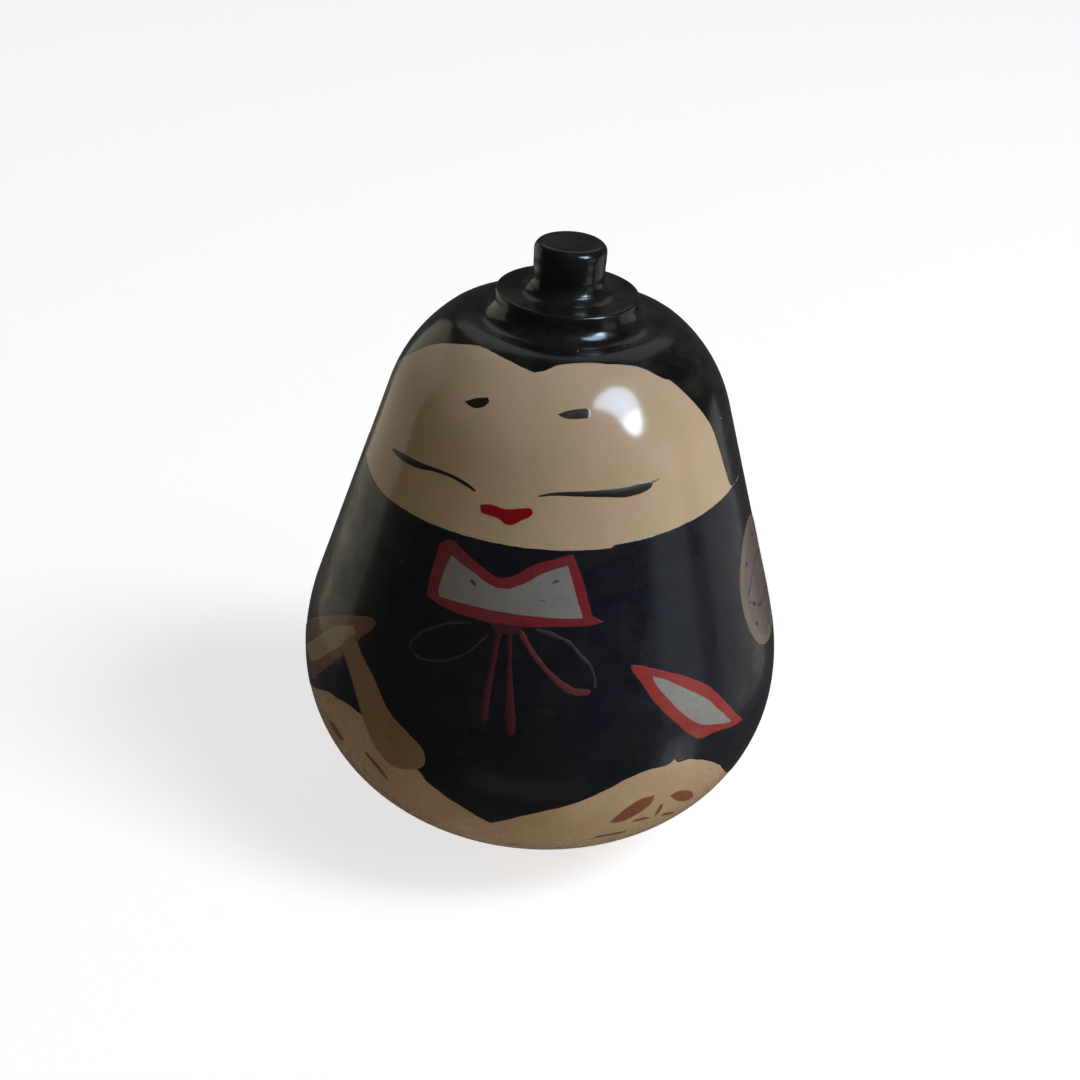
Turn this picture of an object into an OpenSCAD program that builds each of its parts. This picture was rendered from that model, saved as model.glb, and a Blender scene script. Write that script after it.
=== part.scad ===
// Turned wooden roly-poly daruma doll, painted as a woman in a navy kimono.
// Origin: middle of the small flat foot. +Z is up. The face looks along -Y.
// All sizes are in millimetres and angles in degrees.

/* [Body] */
// Widest diameter of the painted body
body_d = 60; // [58:0.5:62]
// Radius of the belly curve below the widest ring
belly_low_r = 20.3; // [19.6:0.1:21]
// Radius of the belly curve above the widest ring
belly_high_r = 28.8; // [27:0.1:29.5]
// Half angle of the straight cone between belly and head
cone_deg = 17.3; // [16.5:0.1:18]
// Height of the cone's upper end above the widest ring
cone_top_h = 35.5; // [34:0.1:37]
// Radius of the shoulder curve of the head
shoulder_r = 18.2; // [17.6:0.1:18.8]
// Slope of the shoulder curve where the head's top edge starts to round over
crown_deg = 50; // [48:0.5:52]
// Radius of the rounded edge round the head's flat top
crown_r = 5.9; // [5.6:0.1:6.1]
// Angle below horizontal where the belly meets the rolling base sphere
base_deg = 57.8; // [56:0.1:59]
// Radius of the small flat foot
foot_r = 3.9; // [3:0.1:4.5]

/* [Inside] */
// Radius of the bore that hollows the body
bore_r = 16; // [14:0.1:16.5]
// Height where the straight bore ends and narrows
bore_top_z = 44; // [38:0.5:46]
// Radius of the base plug where it shows outside
plug_r = 17.5; // [17:0.1:18]
// Height of the plug's rebate
rebate_z = 8; // [7:0.1:9]
// Height of the plug's inner face
plug_top_z = 11; // [10:0.1:12]
// Radius of the ballast puck
weight_r = 13; // [10:0.1:13.5]
// Thickness of the ballast puck
weight_h = 8; // [5:0.1:10]

/* [Topknot] */
// Radius of the topknot near its top
knot_r = 4.2; // [3.9:0.1:4.4]
// Height of the topknot above the bun ring
knot_h = 5; // [4.4:0.1:5.6]
// Rounding of the topknot's top edge
knot_round = 0.9; // [0.4:0.1:1.1]
// Radius of the hollow curve at the topknot's foot
knot_cove_r = 1.8; // [1.5:0.1:2]
// Radius of the bun ring's side
ring_r = 8.3; // [8.1:0.05:8.4]
// Height of the bun ring above the head's flat top
ring_h = 3.1; // [2.8:0.1:3.4]
// Radius of the hollow curve at the bun ring's foot
ring_cove_r = 2.2; // [1.9:0.1:2.2]
// Radius of the tenon that holds the topknot
tenon_r = 2.45; // [2.2:0.05:2.6]

/* [Paint] */
// Thickness of one coat of paint
coat = 0.15; // [0.12:0.01:0.2]

/* [Hidden] */
$fn = 96;
gap = 0.05;
join = 0.003;
body_r = body_d / 2;
low_x = body_r - belly_low_r;
high_x = body_r - belly_high_r;
cap_r = low_x / cos(base_deg) + belly_low_r;
mid_z = sqrt(cap_r * cap_r - foot_r * foot_r) - low_x * tan(base_deg);
cap_z = mid_z + low_x * tan(base_deg);
cone_r0 = high_x + belly_high_r * cos(cone_deg);
cone_z0 = mid_z + belly_high_r * sin(cone_deg);
cone_z1 = mid_z + cone_top_h;
cone_r1 = cone_r0 - (cone_z1 - cone_z0) * tan(cone_deg);
sh_x = cone_r1 - shoulder_r * cos(cone_deg);
sh_z = cone_z1 - shoulder_r * sin(cone_deg);
crown_x = sh_x + (shoulder_r - crown_r) * cos(crown_deg);
crown_z = sh_z + (shoulder_r - crown_r) * sin(crown_deg);
top_z = crown_z + crown_r;
ring_foot_r = ring_r + ring_cove_r;
ring_top_z = top_z + ring_h;
rim_round = 0.35;
knot_foot_r = knot_r - 0.1;
flare_x = knot_foot_r + knot_cove_r;
flare_z = ring_top_z + knot_cove_r;
flare_h = 0.8;
knot_z = ring_top_z + flare_h;
total_z = knot_z + knot_h;

// Smooth curve through points, n steps for each span.
function knot(a, b, c, d, t) =
  0.5 * (2 * b + (c - a) * t + (2 * a - 5 * b + 4 * c - d) * t * t
  + (3 * b - a - 3 * c + d) * t * t * t);

function curve(p, n = 3) =
  concat(
    [for (i = [0 : len(p) - 2], j = [0 : n - 1])
      knot(p[max(i - 1, 0)], p[i], p[i + 1], p[min(i + 2, len(p) - 1)], j / n)],
    [p[len(p) - 1]]
  );

// One edge of a brush stroke. Each point is x, height, width.
function edge(p, s) =
  [for (i = [0 : len(p) - 1])
    let (a = p[max(i - 1, 0)])
    let (b = p[min(i + 1, len(p) - 1)])
    let (d = [b[0] - a[0], b[1] - a[1]])
    let (k = s * p[i][2] / 2 / norm(d))
    [p[i][0] - d[1] * k, p[i][1] + d[0] * k]];

// Closed outline of a brush stroke.
function stroke(p) =
  concat(edge(p, 1), [for (i = [len(p) - 1 : -1 : 0]) edge(p, -1)[i]]);

// Half section of the body, grown outwards by g.
module section(g) {
  difference() {
    union() {
      intersection() {
        translate([0, cap_z]) circle(r = cap_r + g);
        translate([0, 0]) square([40, cap_z - (cap_r + g) * sin(base_deg)]);
      }
      intersection() {
        translate([low_x, mid_z]) circle(r = belly_low_r + g);
        translate([0, cap_z - (cap_r + g) * sin(base_deg) - 1])
          square([40, mid_z - cap_z + (cap_r + g) * sin(base_deg) + 2]);
      }
      intersection() {
        translate([high_x, mid_z]) circle(r = belly_high_r + g);
        translate([0, mid_z]) square([40, (belly_high_r + g) * sin(cone_deg) + 1]);
      }
      polygon([
        [0, cone_z0 + g * sin(cone_deg)],
        [cone_r0 + (g - join) * cos(cone_deg), cone_z0 + g * sin(cone_deg)],
        [cone_r1 + (g - join) * cos(cone_deg), cone_z1 + g * sin(cone_deg)],
        [0, cone_z1 + g * sin(cone_deg)]
      ]);
      intersection() {
        translate([sh_x, sh_z]) circle(r = shoulder_r + g);
        translate([0, cone_z1 + g * sin(cone_deg) - 1])
          square([40, sh_z + (shoulder_r + g) * sin(crown_deg) - cone_z1 - g * sin(cone_deg) + 1]);
      }
      translate([crown_x, crown_z]) circle(r = crown_r + g);
      square([crown_x, top_z + g]);
    }
    translate([-60, -10]) square([60, 120]);
  }
}

// One coat of paint, coat number k, as a thin shell. Coat 1 ends at the finished surface.
module coat_shell(k) {
  rotate_extrude() {
    difference() {
      section((k - 1) * coat);
      section((k - 2) * coat);
      square([plug_r, 30]);
      translate([0, 60]) square([ring_foot_r, 40]);
    }
  }
}

// Pushes a front-view outline through the front half. a turns it about the axis.
module front(a = 0) {
  rotate([0, 0, a]) rotate([90, 0, 0]) linear_extrude(40) children();
}

// Pushes a front-view outline right through, front and back.
module through() {
  rotate([90, 0, 0]) translate([0, 0, -40]) linear_extrude(80) children();
}

// A painted shape: the second coat inside a front-view outline.
module painted(a, p) {
  intersection() {
    coat_shell(2);
    front(a) polygon(p);
  }
}

// Collar line across the front, from the doll's right to its left.
neck_line = [[-30, 51.4], [-22.4, 51], [-12, 49.9], [0, 49.8], [12, 50.4], [22.4, 51.4], [30, 51.4]];
// Edge of the cream hem across the front, in two lobes that meet in a notch.
hem_right = [[-35, 12], [-26, 19], [-22, 23.2], [-17, 24.6], [-11, 23], [-7, 20.6], [-3, 17.8], [1, 15]];
hem_left = [[1, 15], [6, 17.6], [11, 20], [16, 22.2], [20, 23], [23.5, 22], [26.2, 17.5], [28, 10]];
// Edge of the cream hem across the back.
hem_back_a = [[-40, 12], [-26, 14], [-18, 21.5], [-11, 22.5], [-5, 19.5], [0, 15]];
hem_back_b = [[0, 15], [5, 19.5], [11, 22.5], [18, 21.5], [26, 14], [40, 10]];
// Hairline from the doll's right temple to the peak, then to its left temple.
temple_right = [[-22, 51.4], [-21, 54.8], [-19.6, 58.8], [-17.2, 63.2], [-13, 66.3], [-8, 67.8], [-4, 67.8],
  [-0.5, 66.8]];
temple_left = [[-0.5, 66.8], [2, 68], [8, 68.2], [12, 66.9], [15.8, 64], [18.6, 59.8], [20.6, 54.8], [22, 51.4]];

module face_2d() {
  polygon(concat(curve(temple_right), curve(temple_left), [[22, 44], [-22, 44]]));
}

module above_neck_2d() {
  polygon(concat(curve(neck_line), [[30, 90], [-30, 90]]));
}

module hem_2d() {
  polygon(concat(curve(hem_right), curve(hem_left), [[28, -5], [-35, -5]]));
}

module hem_back_2d() {
  polygon(concat(curve(hem_back_a), curve(hem_back_b), [[40, -5], [-40, -5]]));
}

module body_shell() {
  color([0.74, 0.58, 0.38])
    rotate_extrude() {
      difference() {
        section(-coat);
        square([plug_r, rebate_z]);
        square([bore_r, bore_top_z]);
        polygon([[0, bore_top_z - 1], [bore_r, bore_top_z - 1], [bore_r, bore_top_z], [8, 57], [0, 57]]);
        translate([0, 61]) square([tenon_r + gap, 30]);
      }
    }
}

module base_cap() {
  color([0.72, 0.56, 0.37])
    difference() {
      rotate_extrude() {
        union() {
          intersection() {
            section(0);
            square([plug_r - gap, rebate_z]);
          }
          square([bore_r - gap, plug_top_z]);
        }
      }
      translate([0, 0, 5]) cylinder(r = 1.4, h = 20);
      difference() {
        translate([0, 0, -5]) cylinder(r = 60, h = 25);
        translate([0, 0, cap_z]) sphere(r = cap_r);
      }
    }
}

module ballast_weight() {
  color([0.24, 0.24, 0.25])
    rotate_extrude()
      polygon([
        [2, plug_top_z], [weight_r - 0.5, plug_top_z], [weight_r, plug_top_z + 0.5],
        [weight_r, plug_top_z + weight_h - 0.5], [weight_r - 0.5, plug_top_z + weight_h],
        [2, plug_top_z + weight_h]
      ]);
}

module ballast_washer() {
  color([0.7, 0.7, 0.72])
    translate([0, 0, plug_top_z + weight_h])
      difference() {
        cylinder(r = 5, h = 0.8);
        translate([0, 0, -1]) cylinder(r = 2, h = 4);
      }
}

module ballast_screw() {
  color([0.66, 0.66, 0.68])
    difference() {
      union() {
        translate([0, 0, 5]) cylinder(r = 1.4, h = plug_top_z + weight_h - 4);
        translate([0, 0, plug_top_z + weight_h + 0.8])
          rotate_extrude()
            difference() {
              intersection() {
                translate([0, -2.3]) circle(r = 4.1);
                square([3.2, 2]);
              }
              translate([-5, -1]) square([5, 6]);
            }
      }
      translate([-4, -0.4, plug_top_z + weight_h + 1.7]) cube([8, 0.8, 3]);
    }
}

module bun_ring() {
  inner_r = tenon_r + gap;
  color([0.03, 0.03, 0.032])
    rotate_extrude() {
      difference() {
        union() {
          translate([inner_r, 60]) square([ring_foot_r - inner_r, top_z + ring_cove_r - 60]);
          translate([inner_r, 60]) square([ring_r - inner_r, ring_top_z - rim_round - 60]);
          translate([inner_r, 60]) square([ring_r - rim_round - inner_r, ring_top_z - 60]);
          translate([ring_r - rim_round, ring_top_z - rim_round]) circle(r = rim_round);
          translate([inner_r, 60]) square([flare_x - inner_r, knot_z - 60]);
        }
        translate([ring_foot_r, top_z + ring_cove_r]) circle(r = ring_cove_r);
        translate([flare_x, flare_z]) circle(r = knot_cove_r);
        section(-coat);
      }
    }
}

module topknot() {
  color([0.03, 0.03, 0.032])
    rotate_extrude() {
      translate([0, 62]) square([tenon_r, knot_z - 61]);
      polygon([
        [0, knot_z], [knot_foot_r, knot_z], [knot_foot_r, flare_z],
        [knot_r, total_z - knot_round], [knot_r - knot_round, total_z], [0, total_z]
      ]);
      translate([knot_r - knot_round, total_z - knot_round]) circle(r = knot_round);
      difference() {
        translate([0, knot_z]) square([flare_x, knot_cove_r - flare_h]);
        translate([flare_x, flare_z]) circle(r = knot_cove_r);
      }
    }
}

module hair_paint() {
  color([0.03, 0.03, 0.032])
    difference() {
      intersection() {
        rotate([0, 0, -90]) coat_shell(1);
        through() above_neck_2d();
      }
      front() face_2d();
    }
}

module face_paint() {
  color([0.80, 0.70, 0.56])
    intersection() {
      rotate([0, 0, 90]) coat_shell(1);
      front() face_2d();
      through() above_neck_2d();
    }
}

module kimono_paint() {
  color([0.05, 0.05, 0.11])
    difference() {
      coat_shell(1);
      through() above_neck_2d();
      front() hem_2d();
      rotate([0, 0, 180]) front() hem_back_2d();
    }
}

module hem_paint() {
  color([0.78, 0.68, 0.52])
    intersection() {
      coat_shell(1);
      union() {
        front() hem_2d();
        rotate([0, 0, 180]) front() hem_back_2d();
      }
    }
}

module eyebrows() {
  color([0.07, 0.05, 0.04]) {
    painted(0, stroke(curve([[-7.4, 63.5, 0.5], [-6, 63.9, 1.0], [-4.5, 63.4, 0.4]])));
    painted(0, stroke(curve([[3.1, 64.1, 0.5], [5, 64.0, 1.0], [6.7, 63.8, 0.9]])));
  }
}

module eyes() {
  color([0.05, 0.045, 0.04]) {
    painted(0, stroke(curve([[-16.6, 55.6, 0.3], [-13, 54.9, 1.1], [-8, 55.3, 0.6], [-4.6, 54.8, 0.3]])));
    painted(0, stroke(curve([[2.5, 55.5, 0.3], [6, 56.1, 0.6], [11.5, 56.1, 1.1], [14.8, 56.8, 0.3]])));
  }
}

module lips() {
  color([0.5, 0.03, 0.05])
    painted(0, concat(
      curve([[-3.9, 53.9], [-2.2, 53.6], [-0.8, 53.1]]),
      curve([[0.6, 53.8], [1.6, 54.0], [2.2, 53.4], [0.6, 52.4], [-0.4, 52.0], [-1.8, 52.5], [-3.4, 53.1]])
    ));
}

bow_in = [[-6.6, 47.2], [-4.6, 45.8], [-0.2, 44.8], [3.4, 46.6], [6.6, 47.9], [8.6, 43.2], [1, 42.8], [-7.2, 42.9]];
bow_out = [[-7.2, 48.7], [-4.6, 47.4], [0, 46.2], [3.6, 48.3], [7.5, 49.6], [9.6, 43.2], [11.4, 42.0], [1, 41.4], [-8.8, 42.0]];

module bow_white() {
  color([0.72, 0.72, 0.70])
    painted(0, bow_in);
}

module bow_outline() {
  color([0.55, 0.06, 0.07])
    intersection() {
      coat_shell(2);
      front() difference() {
        polygon(bow_out);
        polygon(bow_in);
      }
    }
}

module bow_cords() {
  color([0.50, 0.06, 0.07]) {
    painted(0, stroke(curve([[0.4, 41.3, 0.9], [0.1, 37, 0.6], [-0.1, 30.4, 1.0]])));
    painted(0, stroke(curve([[1.4, 41.3, 0.8], [2.2, 35, 0.7], [3.0, 29, 1.1]])));
  }
}

module bow_loops() {
  color([0.42, 0.07, 0.08]) {
    painted(0, stroke(curve([[2.4, 41.3, 0.6], [5.5, 37.4, 0.6], [8.5, 34.7, 0.6], [11.4, 34.3, 0.6]])));
    painted(0, stroke(curve([[4.2, 41.4, 0.4], [8.0, 39.6, 0.5], [11.2, 36.6, 0.5], [11.5, 34.9, 0.4]])));
    painted(0, stroke(curve([[-1, 40.6, 0.3], [-4.5, 36.6, 0.3], [-9.6, 34.7, 0.3], [-9.8, 36.6, 0.3],
      [-5.2, 40, 0.3]])));
  }
}

// Sleeve cuffs: leaf shapes, drawn square to the surface at 50 degrees to each side.
cuff_out = [[-7.6, 36.7], [-2.4, 35.0], [2.8, 31.8], [7, 27.4], [9.3, 23.7], [2, 25.0], [-3, 29.2]];
cuff_in = [[-4.8, 34.5], [0, 32.4], [3.6, 29.6], [6.9, 25.9], [2.2, 27.1], [-1.8, 30.2]];

module left_cuff_white() {
  color([0.80, 0.80, 0.78])
    painted(50, cuff_in);
}

module left_cuff_outline() {
  color([0.55, 0.09, 0.07])
    intersection() {
      coat_shell(2);
      front(50) difference() {
        polygon(cuff_out);
        polygon(cuff_in);
      }
    }
}

// The paddle leaves the sleeve on the doll's right.
paddle_pts = [[-7.6, 33.4], [-3.2, 28.4], [1.2, 22.6], [6.4, 20.4], [8.4, 22.6], [8.6, 23.8], [4.7, 26.3],
  [-0.2, 31], [-4.4, 34.4]];

module right_cuff_white() {
  color([0.70, 0.66, 0.60])
    intersection() {
      coat_shell(2);
      difference() {
        front(-50) mirror([1, 0]) polygon(cuff_in);
        front(-30) polygon(paddle_pts);
      }
    }
}

module right_cuff_outline() {
  color([0.45, 0.12, 0.09])
    intersection() {
      coat_shell(2);
      difference() {
        front(-50) mirror([1, 0]) difference() {
          polygon(cuff_out);
          polygon(cuff_in);
        }
        front(-30) polygon(paddle_pts);
      }
    }
}

module paddle() {
  color([0.62, 0.50, 0.34])
    painted(-30, paddle_pts);
}

module ball_fill() {
  color([0.36, 0.30, 0.26])
    intersection() {
      coat_shell(2);
      front(90) translate([0, 37.4]) circle(r = 7.1);
    }
}

module ball_outline() {
  color([0.66, 0.60, 0.48])
    intersection() {
      coat_shell(2);
      front(90) translate([0, 37.4]) difference() {
        circle(r = 7.8);
        circle(r = 7.1);
      }
    }
}

module flower_petals() {
  color([0.42, 0.15, 0.10]) {
    painted(40, stroke(curve([[-3.8, 14.6, 0.3], [-1.6, 16.4, 1.7], [1.2, 18.2, 0.4]])));
    painted(40, stroke(curve([[4.2, 15.9, 0.3], [5.8, 16.8, 1.2], [7.6, 16.2, 0.5]])));
    painted(-30, stroke(curve([[-0.4, 20.0, 0.4], [1, 18.2, 1.5], [2.4, 16.6, 0.4]])));
    painted(-30, stroke(curve([[-7.4, 18.0, 0.4], [-6, 19.0, 1.0], [-4.6, 19.4, 0.4]])));
  }
}

module flower_stamens() {
  color([0.40, 0.20, 0.10]) {
    front_dot(40, 3, 14.5);
    front_dot(40, 0.7, 13.6);
    front_dot(40, 5.2, 12.2);
    front_dot(40, -2.3, 11);
    front_dot(40, 3.2, 11);
  }
}

// A round paint dot. a is the side angle, x and z its place in that view.
module front_dot(a, x, z) {
  intersection() {
    coat_shell(2);
    front(a) translate([x, z]) circle(r = 0.45);
  }
}

body_shell();
base_cap();
ballast_weight();
ballast_washer();
ballast_screw();
bun_ring();
topknot();
hair_paint();
face_paint();
kimono_paint();
hem_paint();
eyebrows();
eyes();
lips();
bow_white();
bow_outline();
bow_cords();
bow_loops();
left_cuff_white();
left_cuff_outline();
right_cuff_white();
right_cuff_outline();
paddle();
ball_fill();
ball_outline();
flower_petals();
flower_stamens();
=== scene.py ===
"""Looks of the self-righting daruma doll: lacquer coats, brush-painted motifs, turned topknot, soft daylight.

Sizes are in design millimetres, and UNIT turns them into the frame's metres. A place on the painted body is
(azimuth, height): azimuth 0 is the middle of the face and +90 the doll's own left side, in degrees.
"""

import math
from collections import namedtuple

import bpy
import numpy as np
from mathutils import Matrix, Vector, geometry, kdtree, noise

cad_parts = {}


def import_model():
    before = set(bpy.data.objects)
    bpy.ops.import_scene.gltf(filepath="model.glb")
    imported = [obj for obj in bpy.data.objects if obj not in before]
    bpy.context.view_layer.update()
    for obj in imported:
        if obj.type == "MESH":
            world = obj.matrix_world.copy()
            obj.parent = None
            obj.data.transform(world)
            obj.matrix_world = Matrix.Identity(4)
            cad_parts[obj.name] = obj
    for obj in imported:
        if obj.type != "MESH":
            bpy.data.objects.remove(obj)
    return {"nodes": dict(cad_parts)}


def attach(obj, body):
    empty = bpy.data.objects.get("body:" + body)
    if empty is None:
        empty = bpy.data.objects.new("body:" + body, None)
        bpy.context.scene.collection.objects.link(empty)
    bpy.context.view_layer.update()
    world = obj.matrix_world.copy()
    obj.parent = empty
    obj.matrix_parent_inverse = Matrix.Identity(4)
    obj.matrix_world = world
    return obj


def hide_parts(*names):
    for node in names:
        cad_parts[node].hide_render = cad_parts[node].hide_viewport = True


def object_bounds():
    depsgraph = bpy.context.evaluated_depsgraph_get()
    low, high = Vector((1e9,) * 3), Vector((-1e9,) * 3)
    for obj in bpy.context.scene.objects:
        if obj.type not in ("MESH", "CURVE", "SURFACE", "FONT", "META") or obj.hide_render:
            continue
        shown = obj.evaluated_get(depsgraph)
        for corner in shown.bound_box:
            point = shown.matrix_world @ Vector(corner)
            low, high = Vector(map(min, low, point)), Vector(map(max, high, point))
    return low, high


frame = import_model()
CAD_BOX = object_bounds()
noise.seed_set(7)  # without a seed, noise_vector starts from the clock

# ---------------------------------------------------------------- sizes
BELLY_R = 30.0  # the body's largest radius, which every other size here is drawn to
UNIT = (CAD_BOX[1].x - CAD_BOX[0].x) / 2 / BELLY_R
MID_Z = 22.9  # height of the widest place
SEAM_R = 17.5  # where the base plug's bare wood meets the painted shell
RING_R = 10.6  # where the hair coat meets the foot of the bun ring, on the head's flat top
HEM_TOP_Z = 26.0  # the hem coat goes up to there, under the kimono
NECK_Z = 50.0  # where the head begins
FOREHEAD_Z = 68.2  # the face coat goes up to there, under the hair

# Radii at which the sideways sizes of what is painted on the head and on the cloth are unrolled
HEAD_R = 22.0
CLOTH_R = 28.0

# The outside of the body, foot to crown: (centre radius, centre height, arc radius, first and last slope).
# A flat top runs in from the last of them.
BODY_ARCS = (
    (0.0, 38.3, 38.5, -90.0, -57.8),
    (9.7, MID_Z, 20.3, -57.8, 0.0),
    (1.2, MID_Z, 28.8, 0.0, 17.3),
    (2.93, 52.99, 18.2, 17.3, 50.0),
    (10.84, 62.41, 5.9, 50.0, 90.0),
)
TOP_FLAT_Z = 68.31
TOP_FLAT_R = (10.8, 9.0)

# How far each coat of paint stands out from the body's finished surface
GROUND_TOP = 0.0
CLOTH_TOP = 0.05
MOTIF_TOP = 0.09
LINE_TOP = 0.12
COAT_DEPTH = 0.2
RIM = 0.16  # width of a coat's rounded edge
RIM_STEPS = (0.4 * RIM, RIM)  # how far inside the edge the two rings of points lie that shape the rim

# How far the shading leans outwards at a coat's edge and at a stroke's two sides
RIM_TILT = 0.4
STROKE_TILT = 0.35

STROKE_SINK = 0.02  # a stroke's two sides dip that far below its base, and its underside lies deeper still
STROKE_DEPTH = 0.1

# How far apart the points of an outline and of a brush stroke lie
OUTLINE_STEP = 0.25
STROKE_STEP = 0.2


# ---------------------------------------------------------------- the body's surface
def trace_arcs(arcs, step):
    """Points (radius, height, slope of the normal in degrees) along a run of arcs, about step apart."""
    points = []
    for centre_r, centre_z, radius, first, last in arcs:
        count = max(2, math.ceil(radius * abs(math.radians(last - first)) / step))
        for i in range(count + 1):
            slope = first + (last - first) * i / count
            a = math.radians(slope)
            points.append((centre_r + radius * math.cos(a), centre_z + radius * math.sin(a), slope))
    return np.array(points)


BODY = np.vstack([trace_arcs(BODY_ARCS, 0.3), [(radius, TOP_FLAT_Z, 90.0) for radius in TOP_FLAT_R]])
BODY_RUN = np.concatenate(([0.0], np.cumsum(np.hypot(np.diff(BODY[:, 0]), np.diff(BODY[:, 1])))))


def run_at(height):
    """Distance along the body's profile from the middle of its foot up to that height."""
    return np.interp(height, BODY[:, 1], BODY_RUN)


def run_at_radius(radius):
    """The same, for a radius on the crown."""
    crown = BODY[:, 1] > NECK_Z
    return np.interp(-radius, -BODY[crown, 0], BODY_RUN[crown])


def on_body(azimuth, run, out):
    """Points, normals, sideways and upward directions at arrays of azimuth and run, out from the surface."""
    radius = np.interp(run, BODY_RUN, BODY[:, 0])
    height = np.interp(run, BODY_RUN, BODY[:, 1])
    slope = np.radians(np.interp(run, BODY_RUN, BODY[:, 2]))
    a = np.radians(azimuth)
    away = np.stack([np.sin(a), -np.cos(a), np.zeros_like(a)], -1)
    side = np.stack([np.cos(a), np.sin(a), np.zeros_like(a)], -1)
    up = np.array([0.0, 0.0, 1.0])
    normal = away * np.cos(slope)[:, None] + up * np.sin(slope)[:, None]
    rise = -away * np.sin(slope)[:, None] + up * np.cos(slope)[:, None]
    point = away * radius[:, None] + up * height[:, None] + normal * np.asarray(out)[:, None]
    return point, normal, side, rise


# ---------------------------------------------------------------- outlines and brush strokes
def smooth(points, step):
    """A curve through the points (Catmull-Rom), step apart. A further column, such as a width, follows."""
    p = np.array(points, float)
    if len(p) == 2:
        bent = p
    else:
        ends = np.vstack([2 * p[0] - p[1], p, 2 * p[-1] - p[-2]])
        t = np.linspace(0, 1, 17)[:-1, None]
        runs = []
        for a, b, c, d in zip(ends, ends[1:], ends[2:], ends[3:]):
            runs.append(0.5 * (2 * b + (c - a) * t + (2 * a - 5 * b + 4 * c - d) * t**2
                               + (3 * b - a - 3 * c + d) * t**3))
        bent = np.vstack(runs + [p[-1:]])
    length = np.concatenate(([0.0], np.cumsum(np.hypot(*np.diff(bent[:, :2], axis=0).T))))
    count = max(1, round(length[-1] / step))
    at = np.linspace(0, length[-1], count + 1)
    return np.stack([np.interp(at, length, bent[:, k]) for k in range(bent.shape[1])], -1)


def flat(points, middle_r):
    """(azimuth, height, ...) as (sideways mm, run mm, ...) on the unrolled body."""
    p = np.array(points, float)
    p[:, 0] = np.radians(p[:, 0]) * middle_r
    p[:, 1] = run_at(p[:, 1])
    return p


def shaken(line, amount):
    """The line as an unsteady hand would paint it; its two ends stay where they are."""
    result = line.copy()
    for i, (x, y) in enumerate(line[:, :2]):
        wobble = noise.noise_vector(Vector((x * 0.9, y * 0.9, 3.7)))
        calm = min(1.0, i / 6, (len(line) - 1 - i) / 6)
        result[i, :2] += np.array(wobble[:2]) * amount * calm
    return result


def joined(runs, middle_r, shake):
    """One line from runs of (azimuth, height) points that are smooth in themselves and meet at corners."""
    parts = [shaken(smooth(flat(run, middle_r), OUTLINE_STEP), shake) for run in runs]
    return np.vstack([part[:-1] for part in parts] + [parts[-1][-1:]])


def outline(*runs, middle_r=CLOTH_R, shake=0.05):
    """A closed outline. Each run starts where the one before ends, and the last is led back to the first."""
    runs = [list(run) for run in runs]
    for run, following in zip(runs, runs[1:] + runs[:1]):
        if run[-1] != following[0]:
            run.append(following[0])
    return joined(runs, middle_r, shake)[:-1]


def ring_outline(low, high):
    """The outline of a coat that goes all round, between two lines that run from the back to the back."""
    wide = low[-1, 0]
    rise = np.arange(low[-1, 1] + OUTLINE_STEP, high[-1, 1] - 0.12, OUTLINE_STEP)
    right = np.stack([np.full(len(rise), wide), rise], -1)
    left = np.stack([np.full(len(rise), -wide), rise[::-1]], -1)
    return np.vstack([low, right, high[::-1], left])


def grown(loop, amount):
    """The closed loop moved outwards by that much."""
    return loop + outward(loop, signed_area(loop) > 0) * amount


def outward(loop, anticlockwise):
    """Unit vectors that point out of the painted area along a closed loop."""
    along = np.roll(loop, -1, 0) - np.roll(loop, 1, 0)
    along /= np.maximum(np.hypot(*along.T), 1e-9)[:, None]
    turn = 1 if anticlockwise else -1
    return np.stack([along[:, 1], -along[:, 0]], -1) * turn


def signed_area(loop):
    """The loop's area, which is positive where the loop runs anticlockwise."""
    x, y = loop.T
    return 0.5 * np.sum(x * np.roll(y, -1) - np.roll(x, -1) * y)


def inside(points, loops):
    """True for the points that lie inside the loops, by the even-odd rule."""
    result = np.zeros(len(points), bool)
    px, py = points[:, 0], points[:, 1]
    for loop in loops:
        x1, y1 = loop.T
        x2, y2 = np.roll(loop, -1, 0).T
        for ax, ay, bx, by in zip(x1, y1, x2, y2):
            if ay == by:
                continue
            crosses = (ay > py) != (by > py)
            result ^= crosses & (px < (bx - ax) * (py - ay) / (by - ay) + ax)
    return result


# ---------------------------------------------------------------- sheets and solids
# One coat or stroke: the points of its top, the same points pushed in, normals for shading, and faces
Sheet = namedtuple("Sheet", "top under normals faces")


def rim_height(distance, top):
    """A coat's height by the distance from its edge: it rounds down over the rim."""
    t = np.clip(1 - distance / RIM, 0, 1)
    return top - (top + 0.02) * t**2 if top > 0 else top - 0.03 * t**2


def tree_of(points):
    """A search tree over flat points."""
    tree = kdtree.KDTree(len(points))
    for i, (x, y) in enumerate(points):
        tree.insert((x, y, 0), i)
    tree.balance()
    return tree


def distances(points, tree):
    """How far each of the flat points is from the nearest point of the tree."""
    return np.array([tree.find((x, y, 0))[2] for x, y in points])


def loop_edges(loops):
    """Pairs of point numbers along each closed loop, whose points are counted on from loop to loop."""
    edges, first = [], 0
    for loop in loops:
        edges += [(first + i, first + (i + 1) % len(loop)) for i in range(len(loop))]
        first += len(loop)
    return edges


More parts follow.
